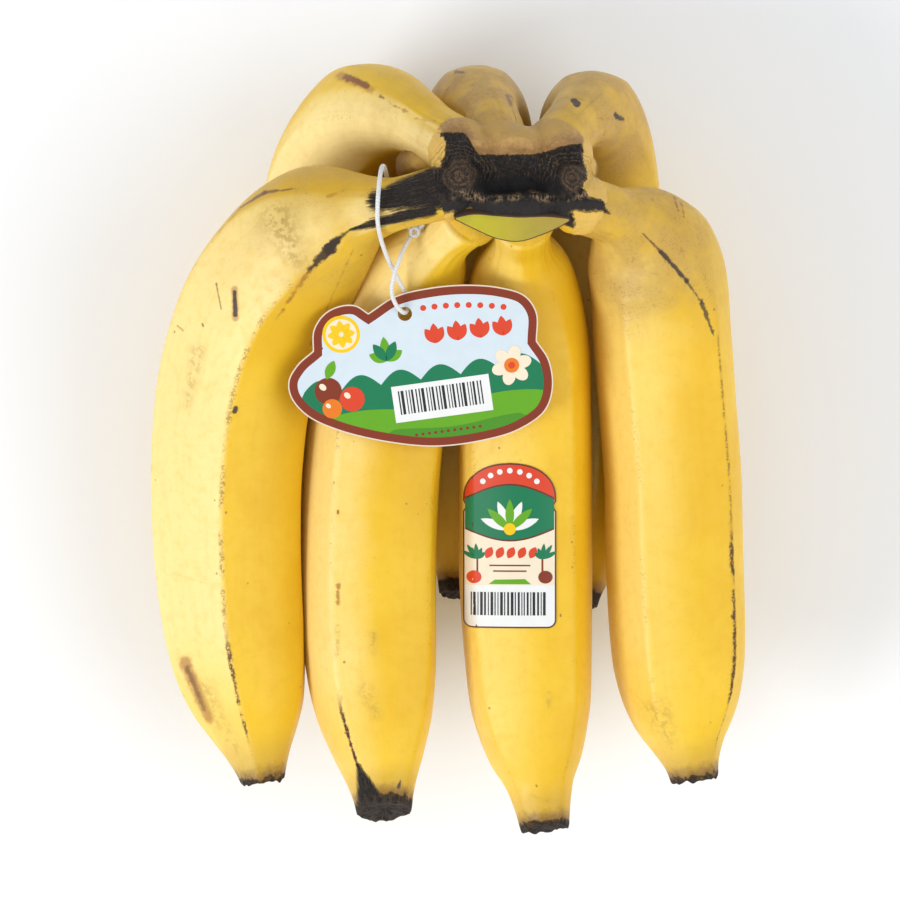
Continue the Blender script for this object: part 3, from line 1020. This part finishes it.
def tagPrint():
    bm = bmesh.new()
    outline = tagOutline()
    field = insetLoop(outline, tag["border"])

    def layer(points, ink, level):
        addShape(bm, points, ink, tag["thickness"] + tag["step"] * level)

    def belowLine(foot, wave, count):
        # The part of the field under a wavy line
        low = [p for p in field if p[1] < foot]
        left, right = low[-1][0], low[0][0]
        top = []
        for i in range(1, count):
            t = i / count
            top.append((left + (right - left) * t, foot + wave(t)))
        return low + top

    layer(insetLoop(outline, 0.35), "brown", 1)
    layer(field, "field", 2)
    layer(belowLine(-3.5, lambda t: 3.4 * abs(math.sin(t * math.pi * 6)), 72), "green", 3)
    layer(belowLine(-10.5, lambda t: 0.9 * math.sin(t * 9), 30), "leaf", 4)
    layer(belowLine(-16.5, lambda t: 0.6 * math.sin(t * 7 + 1), 24), "lime", 5)
    # a sliced round fruit in the ear
    layer(ovalPoints(-19.4, 11.4, 5.0, 5.0), "yellow", 3)
    layer(ovalPoints(-19.4, 11.4, 4.1, 4.1), "cream", 4)
    for i in range(8):
        turn = math.radians(i * 45)
        x, y = -19.4 + 0.5 * math.cos(turn), 11.4 + 0.5 * math.sin(turn)
        layer(leafPoints(x, y, 3.2, 0.95, i * 45), "yellow", 5)
    # a pile of round fruit at one end and a flower at the other
    pile = ((-25.0, -3.2, 3.6, "brown", 5), (-19.0, -6.2, 3.3, "red", 6), (-24.6, -8.0, 2.6, "orange", 7))
    for x, y, r, ink, level in pile:
        layer(ovalPoints(x, y, r, r), ink, level)
        layer(ovalPoints(x - r * 0.35, y + r * 0.35, r * 0.22, r * 0.3, 40, 12), "cream", level + 1)
    layer(leafPoints(-25, 0, 5.4, 1.3, 60), "leaf", 6)
    for i in range(6):
        turn = math.radians(i * 60 + 10)
        x, y = 24.0 + 3.1 * math.cos(turn), -3.0 + 3.1 * math.sin(turn)
        layer(ovalPoints(x, y, 2.3, 1.7, i * 60 + 10), "cream", 5 + i % 2)
    layer(ovalPoints(24.0, -3.0, 2.0, 2.0), "orange", 7)
    layer(ovalPoints(24.0, -3.0, 0.9, 0.9), "red", 8)
    # sprigs, berries and tulips across the brow
    for i in range(5):
        blade = leafPoints(-8.5, 2.6, 6.6 - abs(i - 2) * 0.8, 1.3, 28 + i * 31)
        layer(blade, "green" if i % 2 else "leaf", 4 + i % 2)
    for i in range(4):
        x, y = 5.0 + i * 6.0, 8.2 - 0.05 * i * i
        for k in (-1, 0, 1):
            layer(leafPoints(x, y - 2.6, 5.4 - abs(k) * 0.6, 1.25, 90 - k * 30), "red", 3 + abs(k))
    for i in range(8):
        layer(ovalPoints(3.0 + i * 3.0, 15.4 - 0.006 * (i * 3.0) ** 2, 0.8, 0.8, 0, 14), "red", 3)
    # plain bars on a white block
    layer(boxPoints(-8.4, -14.2, 17.6, -4.4), "white", 6)
    x = -6.8
    for i in range(25):
        wide = (0.35, 0.55, 0.28, 0.75)[(i * 7 + i // 3) % 4]
        layer(boxPoints(x, -12.2, x + wide, -5.8), "black", 7)
        x += wide + (0.35, 0.5, 0.6)[(i * 5) % 3]
    for i in range(11):
        layer(ovalPoints(-3.5 + i * 1.7, -18.1, 0.42, 0.42, 0, 12), "brown", 6)
    cutGrid(bm, 5.0, 5.0, 37.0, 24.0)
    punchHole(bm, tag["hole"], tag["holeRadius"])
    settle(bm, tagMatrix(), tagCurl)
    return bm


tagPiece = makeObject("tag_card", tagCard(), [inks["card"]], smooth=False)
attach(tagPiece, "root")
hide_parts("hang_tag")
printPiece = makeObject("tag_print", tagPrint(), [inks[k] for k in inkOrder], smooth=False)
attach(printPiece, "root")
print("tag done")


# label

label = {"centre": (16, -25.5), "half": (12.3, 22), "waist": 0.8, "corner": 2.2, "lift": 0.22, "step": 0.02}


def labelOutline():
    w, h, r = *label["half"], label["corner"]
    neck, head = h - 11.5, h - 9.5
    right = []
    for a in range(-90, 1, 15):
        right.append((w - r + r * math.cos(math.radians(a)), -h + r + r * math.sin(math.radians(a))))
    right += [(w, neck - 1.4), (w - label["waist"], neck), (w, neck + 1.4)]
    for a in range(8, 90, 8):
        t = math.radians(a)
        right.append((w * math.cos(t) ** 0.9, head + (h - head) * math.sin(t) ** 0.9))
    return right + [(0.0, h)] + [(-x, y) for x, y in reversed(right)]


def labelShape():
    bm = bmesh.new()
    outline = labelOutline()
    inner = insetLoop(outline, 0.42)
    w, h = label["half"]

    def layer(points, ink, level):
        addShape(bm, points, ink, label["step"] * level)

    layer(outline, "rim", 0)
    layer(inner, "white", 1)
    layer([p for p in inner if p[1] > h - 11.0], "red", 2)
    middle = [p for p in inner if -10.6 < p[1] < h - 11.0]
    layer(middle + [(-w + 0.45, -10.6), (w - 0.45, -10.6)], "cream", 2)
    # a green band that bulges, with a fan of white leaves
    for grow, ink, level in ((0.5, "rim", 3), (0.0, "green", 4)):
        bulge = [(-11.7 + 23.4 * i / 20, math.sin(math.pi * i / 20)) for i in range(21)]
        top = [(x, h - 9.6 + grow + 3.6 * rise) for x, rise in bulge]
        foot = [(-x, h - 17.2 - grow - 3.2 * rise) for x, rise in bulge]
        layer(top + foot, ink, level)
    for i in range(7):
        layer(leafPoints(0, h - 17.8, 8.2, 1.15, 90 - 69 + i * 23), "leaf" if i % 2 else "white", 5 + i % 2)
    layer(ovalPoints(0, h - 17.6, 1.6, 1.6), "yellow", 7)
    for i in range(7):
        turn = math.radians(42 + i * 16)
        x, y = 9.6 * math.cos(turn), h - 10.6 + 8.6 * math.sin(turn)
        layer(ovalPoints(x, y, 0.75, 0.75, 0, 14), "white", 3)
    # red buds, brown rules and small palms
    for i in range(5):
        layer(leafPoints(-6.3 + i * 2.9, -3.4, 3.4, 1.1, 62), "red", 3)
    for side in (-1, 1):
        for i in range(5):
            turn = 90 + side * (-62 + i * 28)
            layer(leafPoints(side * 8.6, -3.6, (4.4, 4.6, 4.2, 3.2, 2.8)[i], 0.6, turn), "green", 4 + i % 2)
        layer(boxPoints(side * 8.6 - 0.25, -9.4, side * 8.6 + 0.25, -3.6), "brown", 3)
        layer(ovalPoints(side * 9.4, -8.4, 1.9, 1.7), "red" if side < 0 else "brown", 5)
    layer(boxPoints(-5.4, -5.5, 5.4, -5.1), "brown", 3)
    layer(boxPoints(-4.4, -7.0, 4.4, -6.6), "brown", 3)
    layer([(-5.6, -10.3), (5.6, -10.3), (4.0, -8.9), (-4.0, -9.1)], "leaf", 3)
    x = -10.2
    for i in range(23):
        wide = (0.3, 0.5, 0.25, 0.7)[(i * 5 + i // 4) % 4]
        layer(boxPoints(x, -18.6, x + wide, -12.4), "black", 3)
        x += wide + (0.35, 0.5, 0.45)[(i * 7) % 3]
    cutGrid(bm, 0.8, 3.0, w + 1.0, h + 1.0)
    tree = fingerTrees["banana_front_3"]
    cx, cy = label["centre"]
    for vertex in bm.verts:
        target = place((vertex.co.x + cx, vertex.co.y + cy, 0))
        spot, normal, _, _ = tree.ray_cast(Vector((target.x, target.y, 0.3)), Vector((0, 0, -1)))
        if spot is None:
            spot, normal, _, _ = tree.find_nearest(Vector((target.x, target.y, 0.05)))
        vertex.co = spot + normal * (label["lift"] + vertex.co.z) * mm
    return bm


labelPiece = makeObject("label_print", labelShape(), [inks[k] for k in inkOrder], smooth=True)
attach(labelPiece, "root")
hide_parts("fruit_label")
print("label done")


# string

string = {
    "diameter": 1.2,
    "route": [(-9.9, 57.4, 78.6), (-12.2, 60.8, 76.8), (-14.8, 66, 77.2), (-16.4, 71, 79.8), (-17.2, 74, 84.6),
              (-17.8, 73.4, 90), (-18.3, 69.6, 94.6), (-18.7, 64.4, 96), (-18.8, 59.6, 93.4), (-18, 55, 88.6),
              (-16.4, 50.4, 83.4), (-14, 45.6, 78.6), (-11.8, 41.4, 75.2), (-10.8, 38.2, 74.2), (-11.6, 36.4, 75.8),
              (-12.6, 36.4, 78.2), (-14.2, 38.2, 80), (-15.3, 41.4, 81.8), (-14.8, 45.4, 83.4), (-13.4, 49.6, 83.4),
              (-11.8, 53.4, 81.6), (-10.4, 56, 79.6)],
    "knot": (-9.3, 57.2, 81),
}


def threadTube(points, radius, around=16, perStep=0.22, twist=1.1, depth=0.1):
    # A limp thread with a two-ply twist pressed into it
    dense, length = evenly(smoothPath(points, 12), 400)
    rows = max(6, int(length / perStep))
    even, length = evenly(dense, rows)
    frames = crossFrames(even, 0.5)

    def placeVertex(u, v):
        row = int(round(v * (rows + 2)))
        point, _, normal, side = frames[min(rows, max(0, row - 1))]
        if row in (0, rows + 2):
            return place(point)
        angle = 2 * math.pi * u
        ply = 1 - depth * (0.5 + 0.5 * math.cos(2 * angle - row * perStep * twist * 2 * math.pi))
        out = normal * math.cos(angle) + side * math.sin(angle)
        return place(point + out * radius * ply)

    return wrapGrid(around, rows + 2, placeVertex), [place(p) for p in even], length


def threadMaterial():
    material, tree, shader = newMaterial("elastic_thread")
    uvNode = tree.nodes.new("ShaderNodeUVMap")
    uvNode.uv_map = "UVMap"
    u, v, _ = splitXYZ(tree, uvNode.outputs[0])
    point = objectPoint(tree)
    fuzz = speck(tree, point, 4.0, 3.0, 0.7)
    ribs = calc(tree, "SINE", plus(tree, times(tree, v, 900.0), times(tree, u, 12.566)))
    colour = blend(tree, fade(tree, fuzz, 0.35, 0.7), linear(240, 242, 244), linear(206, 210, 214))
    colour = blend(tree, fade(tree, ribs, -1.0, 1.0, 0.0, 0.25), colour, linear(180, 184, 190))
    feed(tree, shader.inputs["Base Color"], colour)
    shader.inputs["Roughness"].default_value = 0.7
    shader.inputs["Sheen Weight"].default_value = 0.25
    feed(tree, shader.inputs["Normal"], bumpFrom(tree, plus(tree, ribs, fuzz), 0.5, 0.00012))
    return material


threadSkin = threadMaterial()
stringBm, stringPath, stringLength = threadTube(string["route"], string["diameter"] / 2)
stringPiece = makeObject("tag_string_thread", stringBm, [threadSkin])
knotTurns = [(-1.1, 0.3, -0.6), (-0.2, 1.2, 0.4), (1.0, 0.4, 0.7), (0.5, -0.9, 0.1), (-0.8, -0.7, -0.2),
             (-0.9, 0.6, 0.8), (0.4, 0.9, -0.5), (1.1, -0.2, -0.3), (0.2, -1.0, 0.6)]
knotCentre = Vector(string["knot"])
knotBm, _, _ = threadTube([knotCentre + Vector(p) for p in knotTurns], 0.5)
endsRandom = random.Random(5)
for _ in range(16):
    across, up, out = [endsRandom.uniform(-reach, reach) for reach in (0.35, 0.3, 0.3)]
    lean = Vector((0.55 + across, 0.55 + up, 0.25 + out))
    start = knotCentre + Vector((0.3, 0.2, 0))
    tail = [start, knotCentre + lean * 1.6, knotCentre + lean * 3.0 + Vector((0, 0, -0.2))]
    tailBm, _, _ = threadTube(tail, 0.17, around=8, perStep=0.3, depth=0.0)
    tailMesh = bpy.data.meshes.new("tail")
    tailBm.to_mesh(tailMesh)
    tailBm.free()
    knotBm.from_mesh(tailMesh)
    bpy.data.meshes.remove(tailMesh)
knotPiece = makeObject("string_knot_ends", knotBm, [threadSkin])
for piece, node in ((stringPiece, "tag_string"), (knotPiece, "string_knot")):
    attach(piece, "root")
    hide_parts(node)


# stage, light and camera

view = {"lens": 170.2, "target": (0, 0, 48), "distance": 1150}


def areaLight(name, location, size, power):
    lamp = bpy.data.lights.new(name, "AREA")
    lamp.shape = "DISK"
    lamp.size = size
    lamp.energy = power
    lampObject = bpy.data.objects.new(name, lamp)
    lampObject.location = location
    lampObject.rotation_euler = (Vector((0, 0, 0.04)) - Vector(location)).to_track_quat("-Z", "Y").to_euler()
    bpy.context.scene.collection.objects.link(lampObject)


cameraData = bpy.data.cameras.new("camera")
cameraData.lens = view["lens"]
cameraData.sensor_width = 36.0
cameraData.clip_end = 20.0
camera = bpy.data.objects.new("camera", cameraData)
camera.location = place(view["target"]) + Vector((0, 0, view["distance"] * mm))
bpy.context.scene.collection.objects.link(camera)
bpy.context.scene.camera = camera

tuple(stringPath[4])
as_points(stringPath)

floorBm = bmesh.new()
bmesh.ops.create_grid(floorBm, x_segments=1, y_segments=1, size=3.0)
floorMaterial, _, floorShader = newMaterial("floor")
floorShader.inputs["Base Color"].default_value = (0.92, 0.945, 0.98, 1)
floorShader.inputs["Roughness"].default_value = 0.9
floorPiece = makeObject("floor", floorBm, [floorMaterial], smooth=False)

areaLight("key", (-1.15, -0.6, 1.0), 0.75, 14.2)
areaLight("fill", (1.05, -0.3, 1.2), 1.4, 9)
areaLight("side", (1.3, 0.25, 0.4), 0.9, 2.2)
world = bpy.data.worlds.new("studio")
world.use_nodes = True
world.node_tree.nodes["Background"].inputs[0].default_value = (1, 1, 1, 1)
world.node_tree.nodes["Background"].inputs[1].default_value = 0.62
bpy.context.scene.world = world
bpy.context.scene.view_settings.view_transform = "Standard"
print("stage done")
